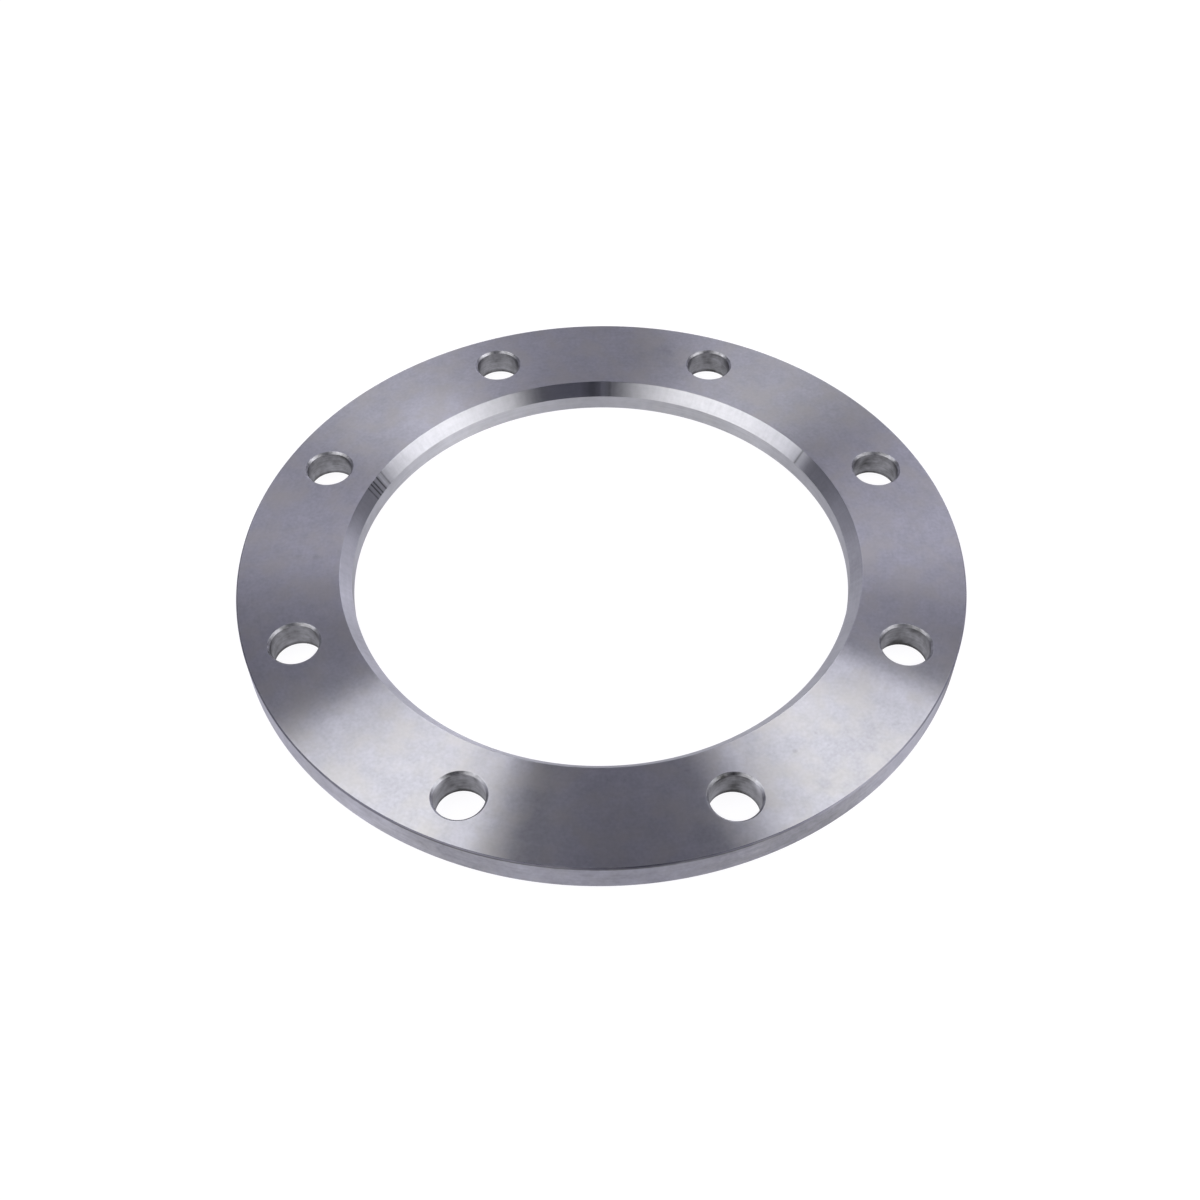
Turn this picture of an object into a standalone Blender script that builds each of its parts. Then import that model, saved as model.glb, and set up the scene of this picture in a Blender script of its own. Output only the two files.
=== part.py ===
"""Backing ring flange: the loose ring that clamps a plastic pipe's stub end to a mating flange.

One piece of stainless plate, turned and drilled. The ring's axis is Z. Its back face lies on
z = 0, its front face looks up, and the bolt holes straddle the X and Y centrelines.
"""
import math

import bpy

# Driving dimensions of the ring, in metres
BORE_DIAMETER = 0.235          # clears the stub end's shank
LAND_WIDTH = 0.030             # bore wall to bolt circle, along a radius: it bears on the stub end
RIM_WIDTH = 0.0225             # bolt circle to the outside, along a radius
THICKNESS = 0.014
BEVEL_WIDTH = 0.005            # bore's front bevel, across the face: it clears the stub's fillet
BEVEL_DEPTH = 0.006            # the same bevel, down the bore
BORE_EDGE_BREAK = 0.0004       # 45 degree break on the bore's back edge
OUTER_EDGE_BREAK = 0.0005      # 45 degree break on both outside edges

# Driving dimensions of the bolt holes
BOLT_HOLE_COUNT = 8
BOLT_HOLE_DIAMETER = 0.022     # clears an M20 bolt
COUNTERSINK_DEPTH = 0.0011     # 45 degree countersink at the front of each hole
HOLE_BACK_BREAK = 0.0005       # 45 degree break at the back of each hole

# Dimensions that follow from them
BORE_RADIUS = BORE_DIAMETER / 2
BOLT_CIRCLE_RADIUS = BORE_RADIUS + LAND_WIDTH
OUTER_RADIUS = BOLT_CIRCLE_RADIUS + RIM_WIDTH
BOLT_HOLE_RADIUS = BOLT_HOLE_DIAMETER / 2
BOLT_PITCH = 2 * math.pi / BOLT_HOLE_COUNT

# Modelling values
CUTTER_OVERRUN = 0.002         # a cutter runs this far past each face
RING_SEGMENTS = 160
HOLE_SEGMENTS = 48
MERGE_DISTANCE = 0.000001
SHARP_ANGLE = math.radians(30)


def clear_scene():
    for old in list(bpy.data.objects):
        bpy.data.objects.remove(old, do_unlink=True)


def new_collection(name):
    collection = bpy.data.collections.new(name)
    bpy.context.scene.collection.children.link(collection)
    return collection


def turned_steel():
    """Bright turned stainless with the fine circular lay of the tool."""
    material = bpy.data.materials.new("turned_stainless")
    material.use_nodes = True
    shader = material.node_tree.nodes["Principled BSDF"]
    shader.inputs["Base Color"].default_value = (0.58, 0.575, 0.60, 1.0)
    shader.inputs["Metallic"].default_value = 1.0
    shader.inputs["Roughness"].default_value = 0.32
    shader.inputs["Anisotropic"].default_value = 0.7
    return material


def turned_object(name, profile, closed, segments, collection):
    """An object whose profile, a list of (radius, height) points, is turned about Z.

    The profile runs down its outer side, so that the faces point out. An open profile starts
    and ends on the axis.
    """
    vertices = [(radius, 0.0, height) for radius, height in profile]
    edges = [(i, i + 1) for i in range(len(profile) - 1)]
    if closed:
        edges.append((len(profile) - 1, 0))
    mesh = bpy.data.meshes.new(name)
    mesh.from_pydata(vertices, edges, [])
    turned = bpy.data.objects.new(name, mesh)
    collection.objects.link(turned)

    screw = turned.modifiers.new("turn", "SCREW")
    screw.axis = "Z"
    screw.angle = 2 * math.pi
    screw.steps = segments
    screw.render_steps = segments
    screw.use_merge_vertices = True
    screw.merge_threshold = MERGE_DISTANCE
    return turned


def ring_profile():
    """Section of the plain ring, from the front outside edge down and round to the front face."""
    return [
        (OUTER_RADIUS - OUTER_EDGE_BREAK, THICKNESS),
        (OUTER_RADIUS, THICKNESS - OUTER_EDGE_BREAK),
        (OUTER_RADIUS, OUTER_EDGE_BREAK),
        (OUTER_RADIUS - OUTER_EDGE_BREAK, 0.0),
        (BORE_RADIUS + BORE_EDGE_BREAK, 0.0),
        (BORE_RADIUS, BORE_EDGE_BREAK),
        (BORE_RADIUS, THICKNESS - BEVEL_DEPTH),
        (BORE_RADIUS + BEVEL_WIDTH, THICKNESS),
    ]


def hole_profile():
    """Section of what a bolt hole takes away: the drilled hole, its countersink and its back break.

    The two cones run on at 45 degrees past the faces of the ring.
    """
    front_reach = COUNTERSINK_DEPTH + CUTTER_OVERRUN
    back_reach = HOLE_BACK_BREAK + CUTTER_OVERRUN
    return [
        (0.0, THICKNESS + CUTTER_OVERRUN),
        (BOLT_HOLE_RADIUS + front_reach, THICKNESS + CUTTER_OVERRUN),
        (BOLT_HOLE_RADIUS, THICKNESS - COUNTERSINK_DEPTH),
        (BOLT_HOLE_RADIUS, HOLE_BACK_BREAK),
        (BOLT_HOLE_RADIUS + back_reach, -CUTTER_OVERRUN),
        (0.0, -CUTTER_OVERRUN),
    ]


def bolt_hole_cutters(collection):
    """One cutter for each bolt hole, set half a pitch off the X centreline."""
    first = turned_object("bolt_hole_cutter_1", hole_profile(), False, HOLE_SEGMENTS, collection)
    cutters = [first]
    for number in range(2, BOLT_HOLE_COUNT + 1):
        cutter = first.copy()
        cutter.name = f"bolt_hole_cutter_{number}"
        collection.objects.link(cutter)
        cutters.append(cutter)
    for place, cutter in enumerate(cutters):
        angle = (place + 0.5) * BOLT_PITCH
        cutter.location.x = BOLT_CIRCLE_RADIUS * math.cos(angle)
        cutter.location.y = BOLT_CIRCLE_RADIUS * math.sin(angle)
        cutter.hide_render = True
        cutter.display_type = "WIRE"


def drill(ring, cutters):
    drilling = ring.modifiers.new("drill_bolt_holes", "BOOLEAN")
    drilling.operation = "DIFFERENCE"
    drilling.solver = "EXACT"
    drilling.operand_type = "COLLECTION"
    drilling.collection = cutters


def finish_surface(ring):
    """Takes the turned and drilled shape as the ring's own mesh, smooth apart from its real edges."""
    depsgraph = bpy.context.evaluated_depsgraph_get()
    finished = bpy.data.meshes.new_from_object(ring.evaluated_get(depsgraph))
    finished.name = ring.name
    ring.modifiers.clear()
    ring.data = finished
    finished.shade_smooth()
    finished.set_sharp_from_angle(angle=SHARP_ANGLE)
    finished.materials.clear()
    finished.materials.append(turned_steel())


def main():
    clear_scene()
    flange = new_collection("backing_ring_flange")
    cutters = new_collection("bolt_hole_cutters")
    ring = turned_object("backing_ring", ring_profile(), True, RING_SEGMENTS, flange)
    bolt_hole_cutters(cutters)
    drill(ring, cutters)
    finish_surface(ring)


main()
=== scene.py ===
# %% [markdown]
# # A backing ring flange in turned stainless steel
#
# The object is one piece of stainless plate: a flat ring, faced on a lathe, with a wide bore, a
# bevel on the bore's front edge and eight bolt holes. Nothing on it moves and nothing is fitted
# to it, so all the work lies in two things: true edges, and a surface that shines the way
# turned metal shines.
#
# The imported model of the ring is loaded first. It is right in every size, but its round
# surfaces are made of 160 flat facets, and a mirror-like metal shows each of them. It stays in
# place for motion and collision, and a finer ring is modelled by hand in the same place.

import math

import bmesh
import bpy
from mathutils import Matrix, Vector


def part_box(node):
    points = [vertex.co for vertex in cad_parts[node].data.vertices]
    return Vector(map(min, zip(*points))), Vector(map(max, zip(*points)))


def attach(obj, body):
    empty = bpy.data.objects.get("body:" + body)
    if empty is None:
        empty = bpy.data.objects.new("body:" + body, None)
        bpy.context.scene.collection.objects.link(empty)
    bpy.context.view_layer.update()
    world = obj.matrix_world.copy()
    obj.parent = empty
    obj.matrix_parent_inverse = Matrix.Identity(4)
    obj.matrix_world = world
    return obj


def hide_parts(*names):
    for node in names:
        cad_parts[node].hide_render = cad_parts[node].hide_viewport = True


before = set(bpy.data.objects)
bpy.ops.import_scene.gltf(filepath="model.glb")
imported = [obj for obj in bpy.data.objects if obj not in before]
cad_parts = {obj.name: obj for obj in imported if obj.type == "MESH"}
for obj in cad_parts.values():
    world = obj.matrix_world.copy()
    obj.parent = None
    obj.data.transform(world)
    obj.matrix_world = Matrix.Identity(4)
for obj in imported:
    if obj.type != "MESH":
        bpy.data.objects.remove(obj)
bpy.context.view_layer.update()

# %% [markdown]
# ## The sizes
#
# The outside and the thickness are read from the frame, so the fine ring can't drift away from
# it. It is held three thousandths of a millimetre inside the outside, so that no rounding of a
# number can put a point beyond it. The other sizes are the ones that a turner would be given on
# the drawing: the bore, its bevel, the small breaks that take the burr off the edges, and the
# drilling.

# %% Sizes of the ring, in metres
NODE = "backing_ring"
MM = 0.001
INSIDE_CAD = 0.003 * MM
lowest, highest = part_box(NODE)
OUTER_RADIUS = highest.x - INSIDE_CAD
THICKNESS = highest.z

BORE_RADIUS = 117.5 * MM
BEVEL_WIDTH = 5.0 * MM
BEVEL_DEPTH = 6.0 * MM
BORE_BREAK = 0.4 * MM
OUTER_BREAK = 0.5 * MM

BOLT_COUNT = 8
BOLT_CIRCLE_RADIUS = 147.5 * MM
HOLE_RADIUS = 11.0 * MM
COUNTERSINK_DEPTH = 1.1 * MM
HOLE_BREAK = 0.5 * MM
BOLT_PITCH = 2 * math.pi / BOLT_COUNT

print(f"outside {2000 * OUTER_RADIUS:.1f} mm, thickness {1000 * THICKNESS:.1f} mm")

# %% [markdown]
# ## The section of the ring
#
# A lathe makes a ring by holding one outline still while the work turns past it, so the ring
# is modelled the same way round: first its section, then a full turn of it. The section starts
# as a plane with the width and the thickness of the ring. Every corner is then cut off by a
# bisect, which is what the tool does when it puts on a bevel. A chain of typed points would
# give the same outline, but the cuts say what each one is for.

# %% Helpers for working by hand
def deselect_all():
    bpy.ops.object.select_all(action="DESELECT")


def edit(piece):
    deselect_all()
    bpy.context.view_layer.objects.active = piece
    piece.select_set(True)
    bpy.ops.object.mode_set(mode="EDIT")
    bpy.ops.mesh.select_all(action="SELECT")


def leave_edit():
    bpy.ops.object.mode_set(mode="OBJECT")


# %% The plane that becomes the section
def section_blank():
    deselect_all()
    bpy.ops.mesh.primitive_plane_add(size=1.0, rotation=(math.pi / 2, 0, 0))
    blank = bpy.context.active_object
    blank.name = "turned_ring"
    blank.data.name = "turned_ring"
    blank.scale = (OUTER_RADIUS - BORE_RADIUS, THICKNESS, 1)
    blank.location = ((OUTER_RADIUS + BORE_RADIUS) / 2, 0, THICKNESS / 2)
    bpy.ops.object.transform_apply(location=True, rotation=True, scale=True)
    return blank


ring = section_blank()
print("section blank:", [round(1000 * size, 2) for size in ring.dimensions], "mm")


# %% Cut the corners off
def cut_corner(corner, across, down):
    """Cuts a corner of the section off: across is its width along the face, down along the wall.

    Both are signed, and point from the corner into the metal.
    """
    outward = Vector((-abs(down) * math.copysign(1, across), 0, -abs(across) * math.copysign(1, down)))
    on_face = Vector((corner[0] + across, 0, corner[1]))
    bpy.ops.mesh.select_all(action="SELECT")
    bpy.ops.mesh.bisect(plane_co=on_face, plane_no=outward.normalized(), clear_outer=True)


edit(ring)
cut_corner((BORE_RADIUS, THICKNESS), BEVEL_WIDTH, -BEVEL_DEPTH)
cut_corner((BORE_RADIUS, 0), BORE_BREAK, BORE_BREAK)
cut_corner((OUTER_RADIUS, THICKNESS), -OUTER_BREAK, -OUTER_BREAK)
cut_corner((OUTER_RADIUS, 0), -OUTER_BREAK, OUTER_BREAK)
leave_edit()
print("corners of the section:", len(ring.data.vertices))

# %% [markdown]
# ## Softened corners
#
# No machined corner is perfectly sharp. Deburring leaves about a tenth of a millimetre of
# radius, and that tiny strip catches the light along every edge. It could be faked by bending
# the normals, but a real rounding also looks right in an outline. A vertex bevel on the flat
# section gives it to every corner at once.

# %% Round the corners of the section
EDGE_ROUND = 0.12 * MM
ROUND_SEGMENTS = 3

edit(ring)
bpy.ops.mesh.bevel(offset=EDGE_ROUND, segments=ROUND_SEGMENTS, profile=0.5, affect="VERTICES")
leave_edit()
print("points on the section:", len(ring.data.vertices))

# %% [markdown]
# ## A full turn
#
# The section's face is deleted, so that only its outline is spun and no wall is left inside
# the metal. 480 steps put a facet every 2.2 mm on the outside, too short to be seen. A full
# turn ends where it began, so the doubled outline is merged before the normals are set.

# %% Spin the outline
RING_STEPS = 480
MERGE_DISTANCE = 0.005 * MM

edit(ring)
bpy.ops.mesh.delete(type="ONLY_FACE")
bpy.ops.mesh.select_all(action="SELECT")
bpy.ops.mesh.spin(steps=RING_STEPS, angle=2 * math.pi, center=(0, 0, 0), axis=(0, 0, 1))
bpy.ops.mesh.select_all(action="SELECT")
bpy.ops.mesh.remove_doubles(threshold=MERGE_DISTANCE)
bpy.ops.mesh.normals_make_consistent(inside=False)
leave_edit()
print("turned ring:", len(ring.data.polygons), "faces")

# %% [markdown]
# ## One bolt hole
#
# A bolt hole is what a drill and a countersink take away, so the tool is modelled and not the
# hole. It is a cylinder whose two caps are extruded in short steps, each wider than the last:
# a soft corner, the 45 degree cone, and a flare that runs out through the face. Because the
# corners are soft on the tool, they come out soft in the metal too.

# %% The drill
HOLE_STEPS = 96
CONE_TILT = math.radians(45)
SOFT_TILT = math.radians(22.5)
FLARE_TILT = math.radians(67.5)
OVERRUN = 0.4 * MM
SOFT_DEPTH = 1.4 * EDGE_ROUND  # depth that the soft corners below and above the cone take up
CAP_FACING = 0.99


def bolt_place(number):
    angle = (number + 0.5) * BOLT_PITCH
    return Vector((BOLT_CIRCLE_RADIUS * math.cos(angle), BOLT_CIRCLE_RADIUS * math.sin(angle), 0))


def select_cap(piece, side):
    """Selects the cap that looks up (side 1) or down (side -1)."""
    mesh = bmesh.from_edit_mesh(piece.data)
    bpy.ops.mesh.select_all(action="DESELECT")
    for face in mesh.faces:
        face.select_set(face.normal.z * side > CAP_FACING)
    bmesh.update_edit_mesh(piece.data)


def widen(centre, side, radius, tilt, length):
    """Extrudes the selected cap along a wall that leans out by tilt, and returns its new radius."""
    wider = radius + length * math.sin(tilt)
    rise = (0, 0, side * length * math.cos(tilt))
    bpy.ops.mesh.extrude_region_move(TRANSFORM_OT_translate={"value": rise})
    bpy.ops.transform.resize(value=(wider / radius, wider / radius, 1), center_override=centre)
    return wider


def shape_mouth(piece, centre, side, depth):
    """Gives one end of the drill its soft corner, its cone and its flare."""
    cone_length = (depth - SOFT_DEPTH) / math.cos(CONE_TILT)
    steps = [(SOFT_TILT, EDGE_ROUND), (CONE_TILT, cone_length), (FLARE_TILT, OVERRUN)]
    radius = HOLE_RADIUS
    select_cap(piece, side)
    for tilt, length in steps:
        radius = widen(centre, side, radius, tilt, length)
    return radius


def drill():
    centre = bolt_place(0)
    bottom = HOLE_BREAK
    top = THICKNESS - COUNTERSINK_DEPTH
    deselect_all()
    bpy.ops.mesh.primitive_cylinder_add(
        vertices=HOLE_STEPS, radius=HOLE_RADIUS, depth=top - bottom,
        location=(centre.x, centre.y, (top + bottom) / 2))
    tool = bpy.context.active_object
    tool.name = "drill"
    edit(tool)
    mouth = shape_mouth(tool, centre, 1, COUNTERSINK_DEPTH)
    shape_mouth(tool, centre, -1, HOLE_BREAK)
    leave_edit()
    print(f"drill: {2000 * HOLE_RADIUS:.1f} mm, {2000 * mouth:.2f} mm over its flare")
    return tool


tool = drill()


# %% [markdown]
# ## Eight bolt holes
#
# The drill is copied to the other seven places on the bolt circle, which straddle the two
# centrelines as flange drillings do. The eight are joined, so that one Boolean cuts them all.

# %% Drill the ring
def copies_round_the_circle(tool):
    tools = [tool]
    for number in range(1, BOLT_COUNT):
        deselect_all()
        tool.select_set(True)
        bpy.context.view_layer.objects.active = tool
        bpy.ops.object.duplicate(linked=False)
        copy = bpy.context.active_object
        copy.location += bolt_place(number) - bolt_place(0)
        tools.append(copy)
    return tools


def join(pieces):
    deselect_all()
    for piece in pieces:
        piece.select_set(True)
    bpy.context.view_layer.objects.active = pieces[0]
    bpy.ops.object.join()
    return pieces[0]


def apply_modifier(piece, modifier):
    deselect_all()
    piece.select_set(True)
    bpy.context.view_layer.objects.active = piece
    bpy.ops.object.modifier_apply(modifier=modifier.name)


tools = join(copies_round_the_circle(tool))
drilling = ring.modifiers.new("drill_bolt_holes", "BOOLEAN")
drilling.operation = "DIFFERENCE"
drilling.solver = "EXACT"
drilling.object = tools
apply_modifier(ring, drilling)
bpy.data.objects.remove(tools, do_unlink=True)
print("drilled ring:", len(ring.data.polygons), "faces")

# %% [markdown]
# ## Smooth walls, flat faces
#
# Smooth shading alone would bend the light at the rim of each flat face, because a corner's
# normal is shared with the tiny rounding beside it. The Weighted Normal modifier lets the
# large face win, so the flats stay flat and all of the bend happens inside the rounding.

# %% Shade the ring
SHARP_ANGLE = math.radians(30)

edit(ring)
bpy.ops.mesh.remove_doubles(threshold=MERGE_DISTANCE)
bpy.ops.mesh.normals_make_consistent(inside=False)
leave_edit()
bpy.ops.object.shade_smooth_by_angle(angle=SHARP_ANGLE)
weighting = ring.modifiers.new("weighted_normals", "WEIGHTED_NORMAL")
weighting.keep_sharp = True
apply_modifier(ring, weighting)

shell = bmesh.new()
shell.from_mesh(ring.data)
print(f"volume {shell.calc_volume() * 1e6:.1f} cm3, open edges",
      sum(1 for edge in shell.edges if not edge.is_manifold))
shell.free()

# %% [markdown]
# ## How turned metal shines
#
# A facing tool leaves a fine spiral groove. Along the groove the metal is nearly a mirror, and
# across it the light is spread wide, so a turned face shows bright and dark fans that run out
# from the middle. Cycles has this as anisotropy. Its Tangent node gives the direction round
# the axis, and the wide direction of the highlight must be square to that, which is what an
# Anisotropic Rotation of a quarter turn does.
#
# The grooves themselves are too fine to model. What shows of them is a faint change in tone
# from one radius to the next, and that is a noise stretched round the ring.

# %% Small helpers for node trees
def feed(tree, socket, value):
    """Links a socket to the input, or sets the input to a plain value."""
    if isinstance(value, bpy.types.NodeSocket):
        tree.links.new(value, socket)
    else:
        socket.default_value = value


def maths(tree, operation, *values, clamp=False):
    node = tree.nodes.new("ShaderNodeMath")
    node.operation = operation
    node.use_clamp = clamp
    for socket, value in zip(node.inputs, values):
        feed(tree, socket, value)
    return node.outputs[0]


def ramp(tree, value, start, end, low=0.0, high=1.0):
    """Goes smoothly from low to high while the value goes from start to end."""
    node = tree.nodes.new("ShaderNodeMapRange")
    node.interpolation_type = "SMOOTHSTEP"
    for name, entry in (("Value", value), ("From Min", start), ("From Max", end),
                        ("To Min", low), ("To Max", high)):
        feed(tree, node.inputs[name], entry)
    return node.outputs["Result"]


def new_group(name, inputs, outputs):
    """A shader node group; inputs are (name, kind, value) and outputs are (name, kind)."""
    group = bpy.data.node_groups.new(name, "ShaderNodeTree")
    for title, kind, value in inputs:
        socket = group.interface.new_socket(name=title, in_out="INPUT", socket_type=kind)
        if value is not None:
            socket.default_value = value
    for title, kind in outputs:
        group.interface.new_socket(name=title, in_out="OUTPUT", socket_type=kind)
    return group, group.nodes.new("NodeGroupInput"), group.nodes.new("NodeGroupOutput")


def place_group(tree, group, **values):
    """Puts a group in a material and feeds its inputs, whose names have _ for a space."""
    node = tree.nodes.new("ShaderNodeGroup")
    node.node_tree = group
    for name, value in values.items():
        feed(tree, node.inputs[name.replace("_", " ")], value)
    return node


FLOAT = "NodeSocketFloat"
VECTOR = "NodeSocketVector"


# %% Where a point lies on the ring
def ring_position_group():
    """Radius, azimuth and height of a point, and Around, which has no seam as an angle has."""
    group, source, result = new_group(
        "ring_position",
        [("Position", VECTOR, None)],
        [("Radius", FLOAT), ("Azimuth", FLOAT), ("Height", FLOAT), ("Around", VECTOR)])
    parts = group.nodes.new("ShaderNodeSeparateXYZ")
    feed(group, parts.inputs[0], source.outputs["Position"])
    squares = [maths(group, "MULTIPLY", parts.outputs[i], parts.outputs[i]) for i in (0, 1)]
    radius = maths(group, "SQRT", maths(group, "ADD", *squares))
    around = group.nodes.new("ShaderNodeCombineXYZ")
    feed(group, around.inputs[0], maths(group, "DIVIDE", parts.outputs[0], radius))
    feed(group, around.inputs[1], maths(group, "DIVIDE", parts.outputs[1], radius))
    feed(group, result.inputs["Radius"], radius)
    feed(group, result.inputs["Azimuth"], maths(group, "ARCTAN2", parts.outputs[1], parts.outputs[0]))
    feed(group, result.inputs["Height"], parts.outputs[2])
    feed(group, result.inputs["Around"], around.outputs[0])
    return group


# %% The lay of the tool
def tool_lay_group():
    """Streaks that run round the ring. Across is measured square to them, in metres."""
    group, source, result = new_group(
        "tool_lay",
        [("Across", FLOAT, 0.0), ("Around", VECTOR, None), ("Pitch", FLOAT, 0.001),
         ("Run", FLOAT, 1.0), ("Detail", FLOAT, 3.0)],
        [("Streak", FLOAT)])
    turns = group.nodes.new("ShaderNodeVectorMath")
    turns.operation = "SCALE"
    feed(group, turns.inputs[0], source.outputs["Around"])
    feed(group, turns.inputs["Scale"], source.outputs["Run"])
    step = group.nodes.new("ShaderNodeCombineXYZ")
    rows = maths(group, "DIVIDE", source.outputs["Across"], source.outputs["Pitch"])
    feed(group, step.inputs[2], rows)
    place = group.nodes.new("ShaderNodeVectorMath")
    place.operation = "ADD"
    feed(group, place.inputs[0], turns.outputs[0])
    feed(group, place.inputs[1], step.outputs[0])
    noise = group.nodes.new("ShaderNodeTexNoise")
    feed(group, noise.inputs["Vector"], place.outputs[0])
    feed(group, noise.inputs["Scale"], 1.0)
    feed(group, noise.inputs["Detail"], source.outputs["Detail"])
    feed(group, result.inputs["Streak"], noise.outputs["Fac"])
    return group


# %% Soft patches of tone
def patches_group():
    """Large soft patches, the uneven film and handling that any bare steel shows."""
    group, source, result = new_group(
        "patches",
        [("Position", VECTOR, None), ("Size", FLOAT, 0.03), ("Detail", FLOAT, 2.0)],
        [("Patch", FLOAT)])
    noise = group.nodes.new("ShaderNodeTexNoise")
    feed(group, noise.inputs["Vector"], source.outputs["Position"])
    feed(group, noise.inputs["Scale"], maths(group, "DIVIDE", 1.0, source.outputs["Size"]))
    feed(group, noise.inputs["Detail"], source.outputs["Detail"])
    feed(group, result.inputs["Patch"], noise.outputs["Fac"])
    return group


# %% Burnished edges with a painted highlight
def burnished_and_highlit_edges_group():
    """A mask that is 1 at the edges of the face and of the bolt holes and fades within Reach."""
    group, source, result = new_group(
        "burnished_and_highlit_edges",
        [("Radius", FLOAT, 0.0), ("Azimuth", FLOAT, 0.0), ("Reach", FLOAT, 0.001)],
        [("Mask", FLOAT)])
    radius = source.outputs["Radius"]
    inner = maths(group, "SUBTRACT", radius, BORE_RADIUS + BEVEL_WIDTH)
    outer = maths(group, "SUBTRACT", OUTER_RADIUS - OUTER_BREAK, radius)
    pitches = maths(group, "DIVIDE", source.outputs["Azimuth"], BOLT_PITCH)
    from_bolt = maths(group, "SUBTRACT", maths(group, "FRACT", pitches), 0.5)
    cosine = maths(group, "COSINE", maths(group, "MULTIPLY", from_bolt, BOLT_PITCH))
    product = maths(group, "MULTIPLY", maths(group, "MULTIPLY", radius, cosine), 2 * BOLT_CIRCLE_RADIUS)
    total = maths(group, "ADD", maths(group, "MULTIPLY", radius, radius), BOLT_CIRCLE_RADIUS ** 2)
    from_axis = maths(group, "SQRT", maths(group, "SUBTRACT", total, product))
    hole = maths(group, "SUBTRACT", from_axis, HOLE_RADIUS + COUNTERSINK_DEPTH)
    nearest = maths(group, "MINIMUM", maths(group, "MINIMUM", inner, outer), hole)
    mask = ramp(group, nearest, 0.0, source.outputs["Reach"], 1.0, 0.0)
    feed(group, result.inputs["Mask"], mask)
    return group


RING_POSITION = ring_position_group()
TOOL_LAY = tool_lay_group()
PATCHES = patches_group()
BURNISHED_AND_HIGHLIT_EDGES = burnished_and_highlit_edges_group()
print("node groups:", [group.name for group in bpy.data.node_groups])

# %% [markdown]
# ## One recipe, several finishes
#
# Every surface here is the same steel, cut in a different way: the faces and the bevel by a
# facing tool, the bore by a boring bar, the outside by a rougher pass, the holes by a drill.
# So one function builds the steel, and each finish gives it its own values. The metal's
# colour is a cool grey, and streaks and patches move it a little towards a darker or a paler
# tone and make it a little smoother or rougher. Here and there it is a little warmer, as steel
# is where a film has dried on it. Seen at a low angle bare metal mirrors more, but steel less
# so than most, and the Specular Tint says by how much.

# %% Bare steel
PALE_STEEL = (0.60, 0.60, 0.66, 1.0)
DARK_STEEL = (0.10, 0.10, 0.108, 1.0)
WARM_STEEL = (0.472, 0.457, 0.44, 1.0)
LOW_ANGLE_TINT = (0.8, 0.8, 0.83, 1.0)
QUARTER_TURN = 0.25
ROUND_THE_RING = {"direction_type": "RADIAL", "axis": "Z"}


def new_material(name):
    material = bpy.data.materials.new(name)
    material.use_nodes = True
    tree = material.node_tree
    return material, tree, tree.nodes["Principled BSDF"]


def mix_colour(tree, factor, first, second):
    node = tree.nodes.new("ShaderNodeMix")
    node.data_type = "RGBA"
    feed(tree, node.inputs["Factor"], factor)
    feed(tree, node.inputs["A"], first)
    feed(tree, node.inputs["B"], second)
    return node.outputs["Result"]


def around_middle(tree, value, gain, middle):
    """Turns a noise that swings about 0.5 into one that swings about the middle by the gain."""
    swing = maths(tree, "MULTIPLY", maths(tree, "SUBTRACT", value, 0.5), gain)
    return maths(tree, "ADD", swing, middle)


def position_on_ring(tree):
    position = tree.nodes.new("ShaderNodeTexCoord").outputs["Object"]
    return position, place_group(tree, RING_POSITION, Position=position)


def lay_streak(tree, place, across, pitch, run, detail):
    """The tool's streaks round the ring. Across is Radius on a flat and Height on a wall."""
    lay = place_group(tree, TOOL_LAY, Across=place.outputs[across], Around=place.outputs["Around"],
                      Pitch=pitch, Run=run, Detail=detail)
    return lay.outputs["Streak"]


def dried_film(tree, position, size, detail, start, end, most):
    """How warm the steel is from what has dried on it: nothing below start, most above end."""
    film = place_group(tree, PATCHES, Position=position, Size=size, Detail=detail)
    return ramp(tree, film.outputs["Patch"], start, end, 0.0, most)


def lay_lobe(tree, shader, anisotropy, lay_direction):
    """The wide side of the highlight lies square to the lay, whose direction a Tangent node gives."""
    tangent = tree.nodes.new("ShaderNodeTangent")
    for name, value in lay_direction.items():
        setattr(tangent, name, value)
    tree.links.new(tangent.outputs["Tangent"], shader.inputs["Tangent"])
    shader.inputs["Anisotropic"].default_value = anisotropy
    shader.inputs["Anisotropic Rotation"].default_value = QUARTER_TURN


def steel_surface(tree, shader, tone, warmth, roughness, rough_swing, relief, relief_height,
                  darkest=DARK_STEEL, palest=PALE_STEEL, low_angle_tint=LOW_ANGLE_TINT):
    """Feeds the steel's colour, roughness and relief. Tone goes from 0, darkest, to 1, palest."""
    cool = mix_colour(tree, tone, darkest, palest)
    feed(tree, shader.inputs["Base Color"], mix_colour(tree, warmth, cool, WARM_STEEL))
    feed(tree, shader.inputs["Roughness"], around_middle(tree, relief, rough_swing, roughness))
    shader.inputs["Metallic"].default_value = 1.0
    shader.inputs["Specular Tint"].default_value = low_angle_tint
    bump = tree.nodes.new("ShaderNodeBump")
    bump.inputs["Strength"].default_value = 1.0
    bump.inputs["Distance"].default_value = relief_height
    feed(tree, bump.inputs["Height"], relief)
    feed(tree, shader.inputs["Normal"], bump.outputs["Normal"])
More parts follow.
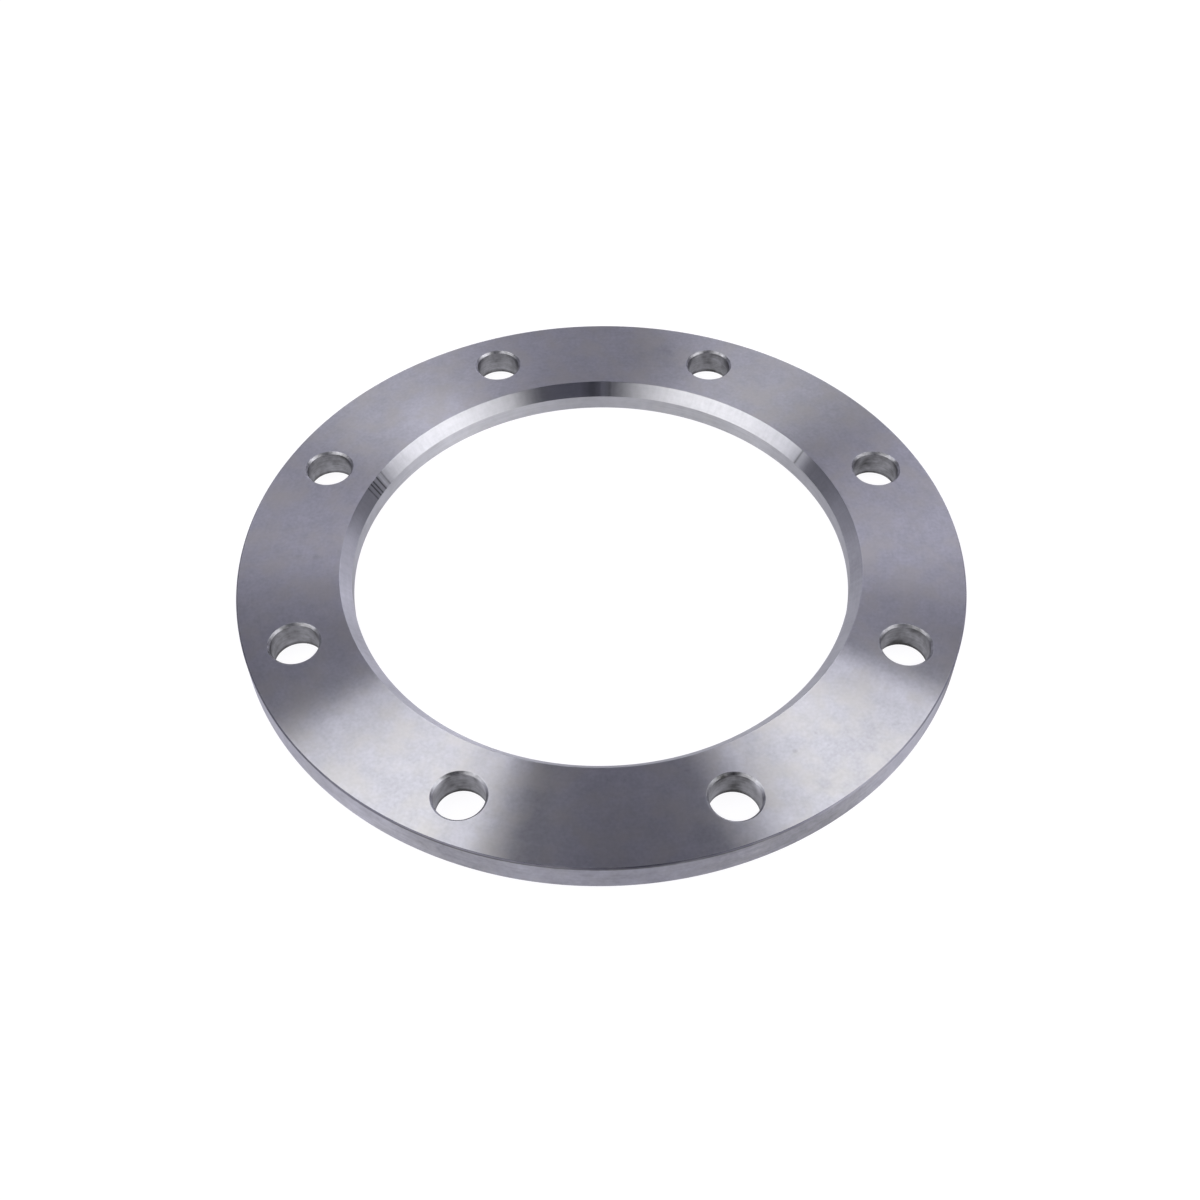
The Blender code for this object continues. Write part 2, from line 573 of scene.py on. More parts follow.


# %% [markdown]
# ## The front face
#
# The face is the show surface: a fine lay, soft mottling and patches from wiping and handling,
# and edges that are a touch brighter, partly burnished by the deburring and partly a painted
# highlight. Two small smudges, two specks and a few brownish stains sit on it, and broad
# patches of painted light and shade make the reflected fans paler or duller here and there.
# All of them are soft masks round a point, kept as lists of where they are and how much they
# change. A few soft bands of painted light also run straight across the face, one pair at each
# end of the two bright fans: a painted highlight on the fan's side and painted shade beyond it,
# which makes the fans end more crisply.

# %% Spots on the face
def spots_group():
    """A mask that is 1 at the Centre and fades out at the Reach, stretched along the lay."""
    group, source, result = new_group(
        "spot",
        [("Position", VECTOR, None), ("Centre", VECTOR, None), ("Reach", FLOAT, 0.001)],
        [("Mask", FLOAT)])
    gap = group.nodes.new("ShaderNodeVectorMath")
    gap.operation = "DISTANCE"
    feed(group, gap.inputs[0], source.outputs["Position"])
    feed(group, gap.inputs[1], source.outputs["Centre"])
    mask = ramp(group, gap.outputs["Value"], 0.0, source.outputs["Reach"], 1.0, 0.0)
    feed(group, result.inputs["Mask"], mask)
    return group


SPOT = spots_group()


def on_ring(radius, azimuth, height):
    angle = math.radians(azimuth)
    return (radius * math.cos(angle), radius * math.sin(angle), height)


def less_at_spot(tree, position, value, centre, reach, depth):
    """Takes the depth of one spot off a value; a depth below 0 adds to it."""
    spot = place_group(tree, SPOT, Position=position, Centre=centre, Reach=reach)
    return maths(tree, "SUBTRACT", value, maths(tree, "MULTIPLY", spot.outputs["Mask"], depth))


def less_at_spots(tree, position, value, radius, height, spots):
    """Takes a list of spots off a value.

    A spot is (azimuth, reach, depth), or (azimuth, reach, depth, radius) away from the radius.
    """
    for azimuth, reach, depth, *own_radius in spots:
        centre = on_ring(own_radius[0] if own_radius else radius, azimuth, height)
        value = less_at_spot(tree, position, value, centre, reach, depth)
    return value


# %% Marks and painted bands across the lay
def mark_and_painted_band_group():
    """A mask of one short line that runs across the lay at an Azimuth, with a soft Width."""
    group, source, result = new_group(
        "mark_and_painted_band",
        [("Azimuth", FLOAT, 0.0), ("Centre", FLOAT, 0.0), ("Width", FLOAT, 0.01)],
        [("Mask", FLOAT)])
    turn = maths(group, "SUBTRACT", source.outputs["Azimuth"], source.outputs["Centre"])
    gap = maths(group, "ABSOLUTE", turn)
    feed(group, result.inputs["Mask"], ramp(group, gap, 0.0, source.outputs["Width"], 1.0, 0.0))
    return group


MARK_AND_PAINTED_BAND = mark_and_painted_band_group()


# Used for the real tool marks on the bevel and for the painted fan-end bands on the face.
def with_marks_and_painted_bands(tree, azimuth, tone, marks):
    """Takes the depth of each mark off the tone; a depth below 0 makes a pale mark."""
    for centre, width, depth in marks:
        mark = place_group(tree, MARK_AND_PAINTED_BAND, Azimuth=azimuth, Centre=math.radians(centre),
                           Width=math.radians(width))
        tone = maths(tree, "SUBTRACT", tone, maths(tree, "MULTIPLY", mark.outputs["Mask"], depth))
    return tone


# %% Patches in a tone
PATCH_DETAIL = 3.0


def with_patches(tree, position, tone, patches):
    """Adds patches to a tone, given as (size, gain)."""
    for size, gain in patches:
        patch = place_group(tree, PATCHES, Position=position, Size=size, Detail=PATCH_DETAIL)
        tone = maths(tree, "ADD", tone, around_middle(tree, patch.outputs["Patch"], gain, 0.0))
    return tone


# %% The faced surfaces
FACE_ROUGHNESS = 0.285
FACE_ROUGH_SWING = 0.01
FACE_ANISOTROPY = 1.0
FACE_RELIEF = 0.0002 * MM
FACE_TONE = 0.68
FACE_LAY = {"across": "Radius", "pitch": 1.1 * MM, "run": 7.0, "detail": 3.0}
FACE_LAY_GAIN = 0.10
FACE_DRIED = {"size": 15 * MM, "detail": 3.0, "start": 0.38, "end": 0.7, "most": 0.55}
EDGE_REACH = 0.8 * MM
EDGE_HIGHLIGHT_GAIN = 0.05
FACE_PATCHES = [(24 * MM, 0.14), (6 * MM, 0.18), (1.6 * MM, 0.30)]
# The first four are real specks and smudges; the broad patches after them are painted light and painted
# shade on the reflected fans.
FACE_SPECKS_AND_PAINTED_LIGHT = [(-54.1, 1.6 * MM, 0.24, 140.4 * MM), (-48.7, 1.2 * MM, 0.16, 139.1 * MM),
              (-178.4, 2.6 * MM, 0.12, 142.6 * MM), (-178.3, 2.6 * MM, 0.12, 134.1 * MM),
              (-54.0, 9 * MM, 0.08, 162 * MM), (-47.0, 42 * MM, 0.18, 164 * MM),
              (-118.0, 42 * MM, 0.11, 164 * MM), (131.0, 30 * MM, -0.2, 126 * MM),
              (16.0, 34 * MM, 0.09, 162 * MM), (78.0, 26 * MM, 0.14, 147 * MM),
              (-109.0, 9 * MM, -0.12, 127 * MM), (-64.0, 9 * MM, -0.08, 127 * MM),
              (-4.5, 16 * MM, 0.08, 166 * MM)]
# Painted light across the face: each pair is a painted highlight on a fan's side and painted shade
# beyond its end.
FACE_PAINTED_FAN_EDGES = [(-107.9, 4.5, -0.15), (-100.1, 4.5, 0.16), (-63.4, 5.0, -0.12), (-72.9, 5.0, 0.12),
              (-32.4, 4.0, -0.15), (-25.9, 4.0, 0.12), (-138.4, 5.0, -0.12), (-145.1, 3.5, 0.06)]
FACE_STAINS = [(17.7, 9 * MM, -0.5, 128 * MM), (0.7, 8 * MM, -0.3, 125 * MM),
               (165.7, 12 * MM, -0.3, 164 * MM)]


def faced_steel(name, spots, marks, stains):
    material, tree, shader = new_material(name)
    position, place = position_on_ring(tree)
    streak = lay_streak(tree, place, **FACE_LAY)
    edges = place_group(tree, BURNISHED_AND_HIGHLIT_EDGES, Radius=place.outputs["Radius"],
                        Azimuth=place.outputs["Azimuth"], Reach=EDGE_REACH)
    tone = around_middle(tree, streak, FACE_LAY_GAIN, FACE_TONE)
    tone = with_patches(tree, position, tone, FACE_PATCHES)
    # Edges a touch paler: partly burnished, partly a painted highlight.
    tone = maths(tree, "ADD", tone, maths(tree, "MULTIPLY", edges.outputs["Mask"], EDGE_HIGHLIGHT_GAIN))
    tone = less_at_spots(tree, position, tone, BOLT_CIRCLE_RADIUS, THICKNESS, spots)
    tone = with_marks_and_painted_bands(tree, place.outputs["Azimuth"], tone, marks)
    warmth = dried_film(tree, position, **FACE_DRIED)
    warmth = less_at_spots(tree, position, warmth, BOLT_CIRCLE_RADIUS, THICKNESS, stains)
    lay_lobe(tree, shader, FACE_ANISOTROPY, ROUND_THE_RING)
    steel_surface(tree, shader, tone, warmth, FACE_ROUGHNESS, FACE_ROUGH_SWING, streak, FACE_RELIEF)
    return material


front_finish = faced_steel("faced_front", FACE_SPECKS_AND_PAINTED_LIGHT, FACE_PAINTED_FAN_EDGES, FACE_STAINS)
back_finish = faced_steel("faced_back", [], [], [])

# %% [markdown]
# ## The bevel
#
# The bevel is cut in one pass with a form tool, so it is smoother than the face and its bright
# and dark fans have crisper ends. Where the tool chattered it left a short row of dark marks
# across the bevel. Where the cut began there is one thin line, with a paler stretch before it,
# and a pale streak with a dark side stands near the back.

# %% The bevelled surface
BEVEL_ROUGHNESS = 0.28
BEVEL_LOW_TINT = (0.65, 0.65, 0.68, 1.0)
BEVEL_TONE = 0.7
BEVEL_LAY = {"across": "Height", "pitch": 0.7 * MM, "run": 2.0, "detail": 3.0}
BEVEL_LAY_GAIN = 0.12
CHATTER = {"across": "Height", "pitch": 9 * MM, "run": 70.0, "detail": 2.0}
CHATTER_GAIN = 0.16
BEVEL_DRIED = {"size": 12 * MM, "detail": 2.0, "start": 0.5, "end": 0.8, "most": 0.08}
CHATTER_MARKS = [(154.1, 0.45, 0.35), (155.1, 0.50, -0.2), (156.0, 0.42, 0.65),
                 (157.5, 0.40, 0.65), (158.5, 0.40, 0.65), (159.9, 0.40, 0.45)]
START_MARKS = [(34.3, 0.5, 0.45), (32.4, 2.6, -0.25)]
BACK_MARKS = [(88.3, 0.7, 0.2), (90.0, 1.1, -0.35), (92.6, 1.8, 0.22),
              (96.6, 3.0, -0.28), (99.6, 3.0, -0.26), (102.6, 3.0, -0.24)]
# Broad patches of painted light and painted shade that make the bevel's reflected fans paler or darker.
BEVEL_PAINTED_LIGHT_AND_SHADE = [(-4.0, 28 * MM, 0.26), (15.0, 18 * MM, -0.2),
               (172.0, 16 * MM, -0.16), (184.6, 20 * MM, 0.15), (-138.0, 50 * MM, 0.3)]
BEVEL_PATCHES = [(12 * MM, 0.1), (3 * MM, 0.16), (1.2 * MM, 0.12)]


def bevelled_steel():
    material, tree, shader = new_material("bevelled_bore_edge")
    position, place = position_on_ring(tree)
    streak = lay_streak(tree, place, **BEVEL_LAY)
    chatter = lay_streak(tree, place, **CHATTER)
    tone = around_middle(tree, streak, BEVEL_LAY_GAIN, BEVEL_TONE)
    tone = maths(tree, "ADD", tone, around_middle(tree, chatter, CHATTER_GAIN, 0.0))
    tone = with_patches(tree, position, tone, BEVEL_PATCHES)
    tone = less_at_spots(tree, position, tone, BORE_RADIUS + BEVEL_WIDTH / 2,
                         THICKNESS - BEVEL_DEPTH / 2, BEVEL_PAINTED_LIGHT_AND_SHADE)
    tone = with_marks_and_painted_bands(tree, place.outputs["Azimuth"], tone,
                             CHATTER_MARKS + START_MARKS + BACK_MARKS)
    warmth = dried_film(tree, position, **BEVEL_DRIED)
    lay_lobe(tree, shader, FACE_ANISOTROPY, ROUND_THE_RING)
    steel_surface(tree, shader, tone, warmth, BEVEL_ROUGHNESS, FACE_ROUGH_SWING, streak,
                  FACE_RELIEF, low_angle_tint=BEVEL_LOW_TINT)
    return material


bevel_finish = bevelled_steel()

# %% [markdown]
# ## The walls
#
# The bore and the outside are turned too, but their lay runs round a standing wall, so the
# streaks are read from the height. They were cut faster and left rougher than the face, and
# the outside also keeps some of the mill's mottled skin. Broad patches of painted shade and
# painted light make the outside's reflection darker at the front and paler to the front left.
# Its 45 degree break is painted dark, a line of painted shade between the rim and the face,
# which painted light makes fainter on the right. At the front the metal just below the line
# is darkened with painted shade as well.

# %% The turned walls
WALL_LAY = {"across": "Height", "pitch": 0.8 * MM, "run": 6.0, "detail": 3.0}
WALL_LAY_GAIN = 0.3
WALL_DRIED = {"size": 9 * MM, "detail": 3.0, "start": 0.4, "end": 0.7, "most": 0.1}
WALL_ROUGH_SWING = 0.05
WALL_RELIEF = 0.001 * MM
BORE_PATCHES = [(14 * MM, 0.15), (4 * MM, 0.2)]
# Places round the bore that are darker, or paler where the depth is below 0.
BORE_TONE_SPOTS = [(-5.0, 36 * MM, 0.16), (34.0, 40 * MM, 0.08), (64.1, 45 * MM, 0.17),
              (106.0, 16 * MM, -0.1), (136.0, 40 * MM, -0.1),
              (-168.0, 34 * MM, 0.35), (-15.0, 30 * MM, 0.25)]
RIM_PATCHES = [(10 * MM, 0.22), (4 * MM, 0.26), (1.6 * MM, 0.2)]
# Broad patches of painted shade and painted light in the outside's reflection: darker at the front and
# front right, paler to the front left.
RIM_PAINTED_LIGHT_AND_SHADE = [(-59.0, 60 * MM, 0.30), (-110.4, 44 * MM, 0.24), (-146.4, 26 * MM, -0.1),
             (-73.0, 20 * MM, 0.1), (-23.0, 30 * MM, 0.42), (-159.0, 32 * MM, -0.43)]
# Where the painted shade below the outside's upper edge begins and ends, and how far it is turned
# round.
PAINTED_SHADE_FROM = 1.5 * MM
PAINTED_SHADE_TO = 0.9 * MM
PAINTED_SHADE_TURN = math.radians(7)
FRONT_SINE = -0.93
SIDE_SINE = -0.75
# Painted light that makes the break's dark line fainter on the right.
BREAK_PAINTED_LIGHT = [(-46.0, 60 * MM, -0.25), (-14.0, 80 * MM, -0.2), (20.0, 80 * MM, -0.3)]
RIM_PALEST = (0.60, 0.594, 0.70, 1.0)
# The break's dark colour is painted shade for the dark room it reflects.
BREAK_PAINTED_SHADE = (0.10, 0.098, 0.13, 1.0)


def walled_steel(name, radius, middle_tone, roughness, anisotropy, patches, tone_spots, front_edge_shade, **steel):
    """Steel of a standing wall. Front edge shade is painted shade, the tone taken off at the front just
    below the upper edge.
    """
    material, tree, shader = new_material(name)
    position, place = position_on_ring(tree)
    streak = lay_streak(tree, place, **WALL_LAY)
    tone = around_middle(tree, streak, WALL_LAY_GAIN, middle_tone)
    tone = with_patches(tree, position, tone, patches)
    tone = less_at_spots(tree, position, tone, radius, THICKNESS / 2, tone_spots)
    # Painted shade: tone taken off at the front, just below the upper edge.
    edge = ramp(tree, place.outputs["Height"], THICKNESS - PAINTED_SHADE_FROM, THICKNESS - PAINTED_SHADE_TO,
                0.0, front_edge_shade)
    sine = maths(tree, "SINE", maths(tree, "ADD", place.outputs["Azimuth"], PAINTED_SHADE_TURN))
    front = ramp(tree, sine, FRONT_SINE, SIDE_SINE, 1.0, 0.0)
    tone = maths(tree, "SUBTRACT", tone, maths(tree, "MULTIPLY", edge, front))
    warmth = dried_film(tree, position, **WALL_DRIED)
    lay_lobe(tree, shader, anisotropy, ROUND_THE_RING)
    steel_surface(tree, shader, tone, warmth, roughness, WALL_ROUGH_SWING, streak,
                  WALL_RELIEF, **steel)
    return material


bore_finish = walled_steel("bored_wall", BORE_RADIUS, middle_tone=0.66, roughness=0.42,
                           anisotropy=0.9, patches=BORE_PATCHES, tone_spots=BORE_TONE_SPOTS, front_edge_shade=0.0)
rim_finish = walled_steel("turned_rim", OUTER_RADIUS, middle_tone=0.57, roughness=0.5,
                          anisotropy=0.9, patches=RIM_PATCHES, tone_spots=RIM_PAINTED_LIGHT_AND_SHADE, front_edge_shade=0.45,
                          palest=RIM_PALEST)
# The break is painted dark all round: a line of painted shade between the rim and the face.
break_finish = walled_steel("break_painted_dark", OUTER_RADIUS, middle_tone=0.08, roughness=0.4,
                            anisotropy=0.0, patches=[], tone_spots=BREAK_PAINTED_LIGHT, front_edge_shade=0.0,
                            darkest=BREAK_PAINTED_SHADE, palest=RIM_PALEST)


# %% [markdown]
# ## The bolt holes
#
# Drill and countersink turn round the hole's own axis, so their lay runs round the hole and not
# round the ring. The Tangent node can follow a UV map as well as an axis: the map's U runs round
# each hole, and its V up the wall. The drill leaves a dull wall with rings one above the other,
# and the countersink a narrow cone with fans like the bevel's. Both are painted darker as shade
# in the hollow, and the wall's foot darker still with painted shade. A list of painted shade and
# painted highlights makes each hole a little different, with far walls darker and bright and dark
# arcs on the countersinks. It names the hole, the turn round its axis, the height, the reach and
# how much darker the metal is there; a value below 0 makes it paler.

# %% A UV map that runs round each hole
HOLE_MAP = "round_each_hole"


def nearest_bolt(point):
    flat = Vector((point.x, point.y, 0))
    axes = [bolt_place(number) for number in range(BOLT_COUNT)]
    return min(axes, key=lambda axis: (flat - axis).length)


def turn_from(axis, point):
    return math.atan2(point.y - axis.y, point.x - axis.x)


def map_round_holes(piece):
    mesh = piece.data
    layer = mesh.uv_layers.new(name=HOLE_MAP)
    for face in mesh.polygons:
        axis = nearest_bolt(face.center)
        middle = turn_from(axis, face.center)
        for loop in face.loop_indices:
            point = mesh.vertices[mesh.loops[loop].vertex_index].co
            turn = middle + math.remainder(turn_from(axis, point) - middle, 2 * math.pi)
            layer.data[loop].uv = (turn / (2 * math.pi), point.z / THICKNESS)


map_round_holes(ring)
print("UV maps:", [layer.name for layer in ring.data.uv_layers])


# %% The drilled wall and the countersink
ROUND_THE_HOLE = {"direction_type": "UV_MAP", "uv_map": HOLE_MAP}
RINGS_SCALE = (110, 110, 1500)  # noise cells to the metre: few round the hole, many up its wall
RINGS_DETAIL = 3.0
RINGS_GAIN = 0.3
HOLE_ANISOTROPY = 0.6
HOLE_WARMTH = 0.05
HOLE_RELIEF = 0.003 * MM
# Painted shade at the foot of each drilled wall, where the floor's shadow falls.
FOOT_SHADE_START = 1.0 * MM
FOOT_SHADE_END = 2.8 * MM
FOOT_PAINTED_SHADE = 0.22
# The darkest tone of the holes is set low as painted shade in the hollow.
HOLE_PAINTED_SHADE = (0.03, 0.03, 0.032, 1.0)
DRILLED_PATCHES = [(7 * MM, 0.5), (2.5 * MM, 0.3)]
SINK_PATCHES = [(4 * MM, 0.7), (1.5 * MM, 0.6)]
# Painted shade on far walls and feet, and painted highlights and painted shade on the countersinks.
HOLE_PAINTED_LIGHT_AND_SHADE = [
    (1, 105, 7.0, 9, 0.12), (1, 60, 13.5, 4, 0.12),
    (2, 95, 8.0, 8, 0.10), (2, 60, 13.5, 4, 0.12),
    (3, 130, 8.0, 7, -0.05), (3, 60, 13.5, 4, 0.12),
    (4, 60, 13.5, 4, 0.20), (4, 195, 13.5, 6, 0.15),
    (5, 210, 13.5, 10, 0.45), (5, 120, 13.5, 4, 0.15),
    (6, 110, 6.0, 10, 0.14), (6, 115, 13.5, 5, 0.20), (6, 30, 13.5, 6, -0.7),
    (6, 152, 13.5, 6, -0.6), (6, 90, 1.0, 6, 0.16),
    (7, 95, 6.0, 10, 0.16), (7, 120, 13.5, 6, 0.40), (7, 65, 13.5, 4, 0.12),
    (7, 28, 13.5, 6, -0.7), (7, 90, 13.5, 4, 0.2), (7, 90, 1.0, 6, 0.16),
    (8, 90, 1.0, 7, 0.18), (8, 100, 7.0, 9, 0.06), (8, 55, 13.5, 6, 0.20),
]


def with_painted_light_in_holes(tree, position, tone):
    for hole, turn, height, reach, depth in HOLE_PAINTED_LIGHT_AND_SHADE:
        centre = bolt_place(hole - 1) + Vector(on_ring(HOLE_RADIUS, turn, height * MM))
        tone = less_at_spot(tree, position, tone, centre, reach * MM, depth)
    return tone


def hole_steel(name, middle_tone, patches, roughness, rough_swing):
    material, tree, shader = new_material(name)
    position, place = position_on_ring(tree)
    rings = tree.nodes.new("ShaderNodeMapping")
    rings.inputs["Scale"].default_value = RINGS_SCALE
    feed(tree, rings.inputs["Vector"], position)
    noise = tree.nodes.new("ShaderNodeTexNoise")
    feed(tree, noise.inputs["Vector"], rings.outputs[0])
    noise.inputs["Scale"].default_value = 1.0
    noise.inputs["Detail"].default_value = RINGS_DETAIL
    tone = around_middle(tree, noise.outputs["Fac"], RINGS_GAIN, middle_tone)
    tone = with_patches(tree, position, tone, patches)
    tone = with_painted_light_in_holes(tree, position, tone)
    # Painted shade at the foot of the wall.
    painted_foot_shade = ramp(tree, place.outputs["Height"], FOOT_SHADE_START, FOOT_SHADE_END, FOOT_PAINTED_SHADE, 0.0)
    tone = maths(tree, "SUBTRACT", tone, painted_foot_shade)
    lay_lobe(tree, shader, HOLE_ANISOTROPY, ROUND_THE_HOLE)
    steel_surface(tree, shader, tone, HOLE_WARMTH, roughness, rough_swing, noise.outputs["Fac"],
                  HOLE_RELIEF, darkest=HOLE_PAINTED_SHADE)
    return material


# The drilled wall's low middle tone is painted shade in the hollow as well.
hole_finish = hole_steel("drilled_wall", middle_tone=0.31, patches=DRILLED_PATCHES,
                         roughness=0.4, rough_swing=0.05)
sink_finish = hole_steel("countersink", middle_tone=0.54, patches=SINK_PATCHES,
                         roughness=0.42, rough_swing=0.02)

# %% [markdown]
# ## Which face gets which finish
#
# A finish belongs to a cut, and each cut can be told by where a face lies and which way it
# looks. So the faces are sorted by their place, and nothing has to be picked by hand.

# %% Sort the faces
FINISHES = {
    "front": front_finish,
    "back": back_finish,
    "bevel": bevel_finish,
    "bore": bore_finish,
    "rim": rim_finish,
    "break": break_finish,
    "hole": hole_finish,
    "sink": sink_finish,
}
FLAT = 0.9999
SLOPED = 0.2


def gap_to_bolt_axis(point):
    return (Vector((point.x, point.y, 0)) - nearest_bolt(point)).length


def cut_of(face):
    radius = math.hypot(face.center.x, face.center.y)
    if face.normal.z > FLAT:
        return "front"
    if face.normal.z < -FLAT:
        return "back"
    if gap_to_bolt_axis(face.center) < HOLE_RADIUS + 2 * COUNTERSINK_DEPTH:
        return "sink" if abs(face.normal.z) > SLOPED else "hole"
    if radius > OUTER_RADIUS - 2 * OUTER_BREAK:
        return "break" if face.normal.z > SLOPED else "rim"
    return "bevel" if face.center.z > THICKNESS - BEVEL_DEPTH else "bore"


ring.data.materials.clear()
for finish in FINISHES.values():
    ring.data.materials.append(finish)
names = list(FINISHES)
counts = dict.fromkeys(names, 0)
for face in ring.data.polygons:
    cut = cut_of(face)
    face.material_index = names.index(cut)
    counts[cut] += 1
print("faces of each finish:", counts)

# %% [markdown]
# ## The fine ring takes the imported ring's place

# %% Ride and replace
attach(ring, "root")
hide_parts(NODE)

# %% [markdown]
# ## The floor
#
# The ring lies on a plain white sweep. A matt floor under soft light would be darker close to
# the ring than further out, so most of its white is a glow, for the camera and for reflections
# alike. The rest is an ordinary matt surface that keeps the ring's shadow.

# %% A white floor
FLOOR_SIZE = 14.0
FLOOR_WHITE = (0.12, 0.12, 0.12, 1.0)
FLOOR_GLOW = 0.94
GLOW_COLOUR = (1.0, 0.995, 1.015, 1.0)


def floor_material():
    material, tree, shader = new_material("white_sweep")
    shader.inputs["Base Color"].default_value = FLOOR_WHITE
    shader.inputs["Roughness"].default_value = 0.9
    shader.inputs["Specular IOR Level"].default_value = 0.0
    shader.inputs["Emission Color"].default_value = GLOW_COLOUR
    path = tree.nodes.new("ShaderNodeLightPath")
    seen = path.outputs["Is Camera Ray"]
    for ray in ("Is Glossy Ray", "Is Transmission Ray"):
        seen = maths(tree, "MAXIMUM", seen, path.outputs[ray])
    feed(tree, shader.inputs["Emission Strength"], maths(tree, "MULTIPLY", seen, FLOOR_GLOW))
    return material


deselect_all()
bpy.ops.mesh.primitive_plane_add(size=FLOOR_SIZE)
floor = bpy.context.active_object
floor.name = "white_sweep"
floor.data.materials.append(floor_material())

# %% [markdown]
# ## The light
#
# Turned metal shows its surroundings more than itself. Two large soft boxes hang over the
# ring, one to the left and one to the right, with a dark gap between them in which the camera
# stands. They give the bright fans, and the gap gives the dark ones at the front and at the
# back. Lamps can be seen in the metal but not by the camera, so they never get in the way.

# %% Two soft boxes
STUDIO_TURN = math.radians(1.14)
LAMP_COLOUR = (1.0, 1.0, 0.98)
RIGHT_BOX = {"inner": 0.314, "outer": 1.551, "inner_height": 0.998, "outer_height": 1.072,
             "front": -0.215, "back": 0.485, "radiance": 3.46}
LEFT_BOX = {"inner": 0.248, "outer": 3.951, "inner_height": 1.094, "outer_height": 2.55,
            "front": -0.18, "back": 0.459, "radiance": 3.89}


def turned_with_studio(x, y, z):
    return Matrix.Rotation(STUDIO_TURN, 4, "Z") @ Vector((x, y, z))


def soft_box(name, side, inner, outer, inner_height, outer_height, front, back, radiance):
    """A lamp over one side of the floor, 1 for right and -1 for left, that rises outwards."""
    slope = math.atan2(outer_height - inner_height, outer - inner)
    data = bpy.data.lights.new(name, "AREA")
    data.shape = "RECTANGLE"
    data.size = (outer - inner) / math.cos(slope)
    data.size_y = back - front
    data.energy = radiance * math.pi * data.size * data.size_y
    data.color = LAMP_COLOUR
    lamp = bpy.data.objects.new(name, data)
    lamp.location = turned_with_studio(side * (inner + outer) / 2, (front + back) / 2,
                                       (inner_height + outer_height) / 2)
    lamp.rotation_euler = (0, -side * slope, STUDIO_TURN)
    bpy.context.scene.collection.objects.link(lamp)
    print(f"{name}: {data.size:.2f} x {data.size_y:.2f} m, {data.energy:.0f} W")


soft_box("right_soft_box", 1, **RIGHT_BOX)
soft_box("left_soft_box", -1, **LEFT_BOX)

# %% [markdown]
# ## The room
#
# Between the lamps the metal reflects the room: pale near the horizon, dark and bluish
# overhead, and brighter where light falls on its walls. The walls in front, to the left and to
# the right, are lit by the lamps and a touch warm, and those behind are smaller and cooler. Each
# is a soft round glow in the world, brightest in its own direction and gone at its reach, which
# is quicker to render than a wall with a lamp on it.

# %% The pale walls
HORIZON_LEVEL = 0.332
HORIZON_START = 8
HORIZON_END = 28
FRONT_GLOWS = [
    {"azimuth": -136.6, "elevation": 29.4, "reach": 39.3, "level": 2.06},
    {"azimuth": -50.8, "elevation": 7.3, "reach": 12.4, "level": 3.47},
    {"azimuth": -31.7, "elevation": 12.4, "reach": 14.9, "level": 2.33},
    {"azimuth": -27.9, "elevation": 23.8, "reach": 38.2, "level": 1.12},
]
BACK_GLOWS = [
    {"azimuth": 55.6, "elevation": 27.0, "reach": 16.9, "level": 3.05},
    {"azimuth": 76.0, "elevation": 46.2, "reach": 13.4, "level": 0.34},
    {"azimuth": 76.1, "elevation": 10.9, "reach": 12.0, "level": 5.25},
    {"azimuth": 93.5, "elevation": 37.9, "reach": 12.0, "level": 1.47},
    {"azimuth": 106.3, "elevation": 38.1, "reach": 12.0, "level": 1.05},
    {"azimuth": 127.7, "elevation": 24.9, "reach": 12.0, "level": 2.03},
]
FRONT_COLOUR = (1.0, 0.995, 0.945, 1.0)
ROOM_COLOUR = (0.975, 0.96, 1.065, 1.0)
SHADE_COLOUR = (0.12, 0.15, 1.0, 1.0)
SHADE_LEVEL = 0.022


def glow(tree, direction, azimuth, elevation, reach, level):
    """A round glow in the world, whose azimuth, elevation and reach are in degrees."""
    flat = math.cos(math.radians(elevation))
    angle = math.radians(azimuth) + STUDIO_TURN
    dot = tree.nodes.new("ShaderNodeVectorMath")
    dot.operation = "DOT_PRODUCT"
    feed(tree, dot.inputs[0], direction)
    feed(tree, dot.inputs[1], (flat * math.cos(angle), flat * math.sin(angle),
                               math.sin(math.radians(elevation))))
    return ramp(tree, dot.outputs["Value"], math.cos(math.radians(reach)), 1.0, 0.0, level)


def glows(tree, direction, start, settings):
    level = start
    for values in settings:
        level = maths(tree, "ADD", level, glow(tree, direction, **values))
    return level


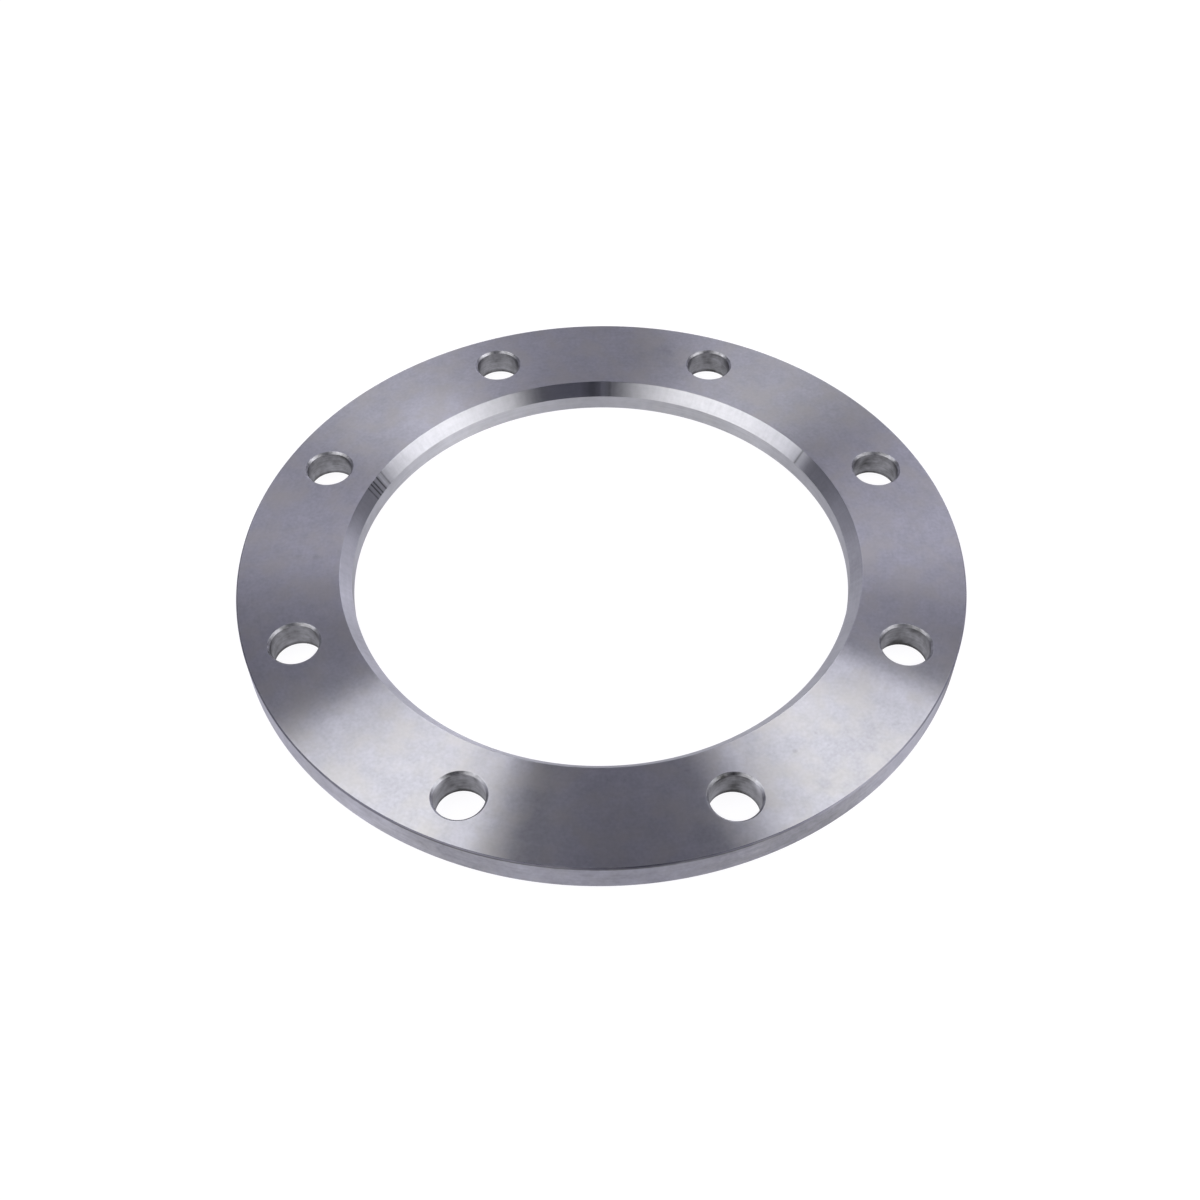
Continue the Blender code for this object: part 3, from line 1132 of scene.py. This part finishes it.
def background(tree, colour, level):
    node = tree.nodes.new("ShaderNodeBackground")
    node.inputs["Color"].default_value = colour
    feed(tree, node.inputs["Strength"], level)
    return node.outputs[0]


def together(tree, first, second):
    node = tree.nodes.new("ShaderNodeAddShader")
    feed(tree, node.inputs[0], first)
    feed(tree, node.inputs[1], second)
    return node.outputs[0]


def room():
    world = bpy.data.worlds.new("studio_room")
    world.use_nodes = True
    tree = world.node_tree
    tree.nodes.clear()
    direction = tree.nodes.new("ShaderNodeTexCoord").outputs["Generated"]
    parts = tree.nodes.new("ShaderNodeSeparateXYZ")
    feed(tree, parts.inputs[0], direction)
    horizon = ramp(tree, parts.outputs[2], math.sin(math.radians(HORIZON_START)),
                   math.sin(math.radians(HORIZON_END)), HORIZON_LEVEL, 0.0)
    behind = background(tree, ROOM_COLOUR, glows(tree, direction, horizon, BACK_GLOWS))
    before = background(tree, FRONT_COLOUR, glows(tree, direction, 0.0, FRONT_GLOWS))
    shade = background(tree, SHADE_COLOUR, SHADE_LEVEL)
    output = tree.nodes.new("ShaderNodeOutputWorld")
    feed(tree, output.inputs["Surface"], together(tree, together(tree, behind, before), shade))
    return world


bpy.context.scene.world = room()

# %% [markdown]
# ## The camera
#
# The camera stands about 0.66 m from the ring, looking down on it at 48 degrees, with a hint
# of roll, so that the front edge runs a touch downhill to the left.

# %% Stand the camera
CAMERA_BACK = 0.4454
CAMERA_HEIGHT = 0.4927
AIM = (-0.00060, -0.01846, 0.0)
LENS = 41.54
SENSOR_WIDTH = 36.0
ROLL = math.radians(-0.83)


def stand_camera():
    data = bpy.data.cameras.new("camera")
    data.lens = LENS
    data.sensor_width = SENSOR_WIDTH
    camera = bpy.data.objects.new("camera", data)
    bpy.context.scene.collection.objects.link(camera)
    camera.location = turned_with_studio(0, -CAMERA_BACK, CAMERA_HEIGHT)
    view = turned_with_studio(*AIM) - camera.location
    level = view.to_track_quat("-Z", "Y").to_matrix().to_4x4()
    camera.rotation_euler = (level @ Matrix.Rotation(ROLL, 4, "Z")).to_euler()
    bpy.context.scene.camera = camera


stand_camera()
bpy.context.scene.view_settings.view_transform = "Standard"
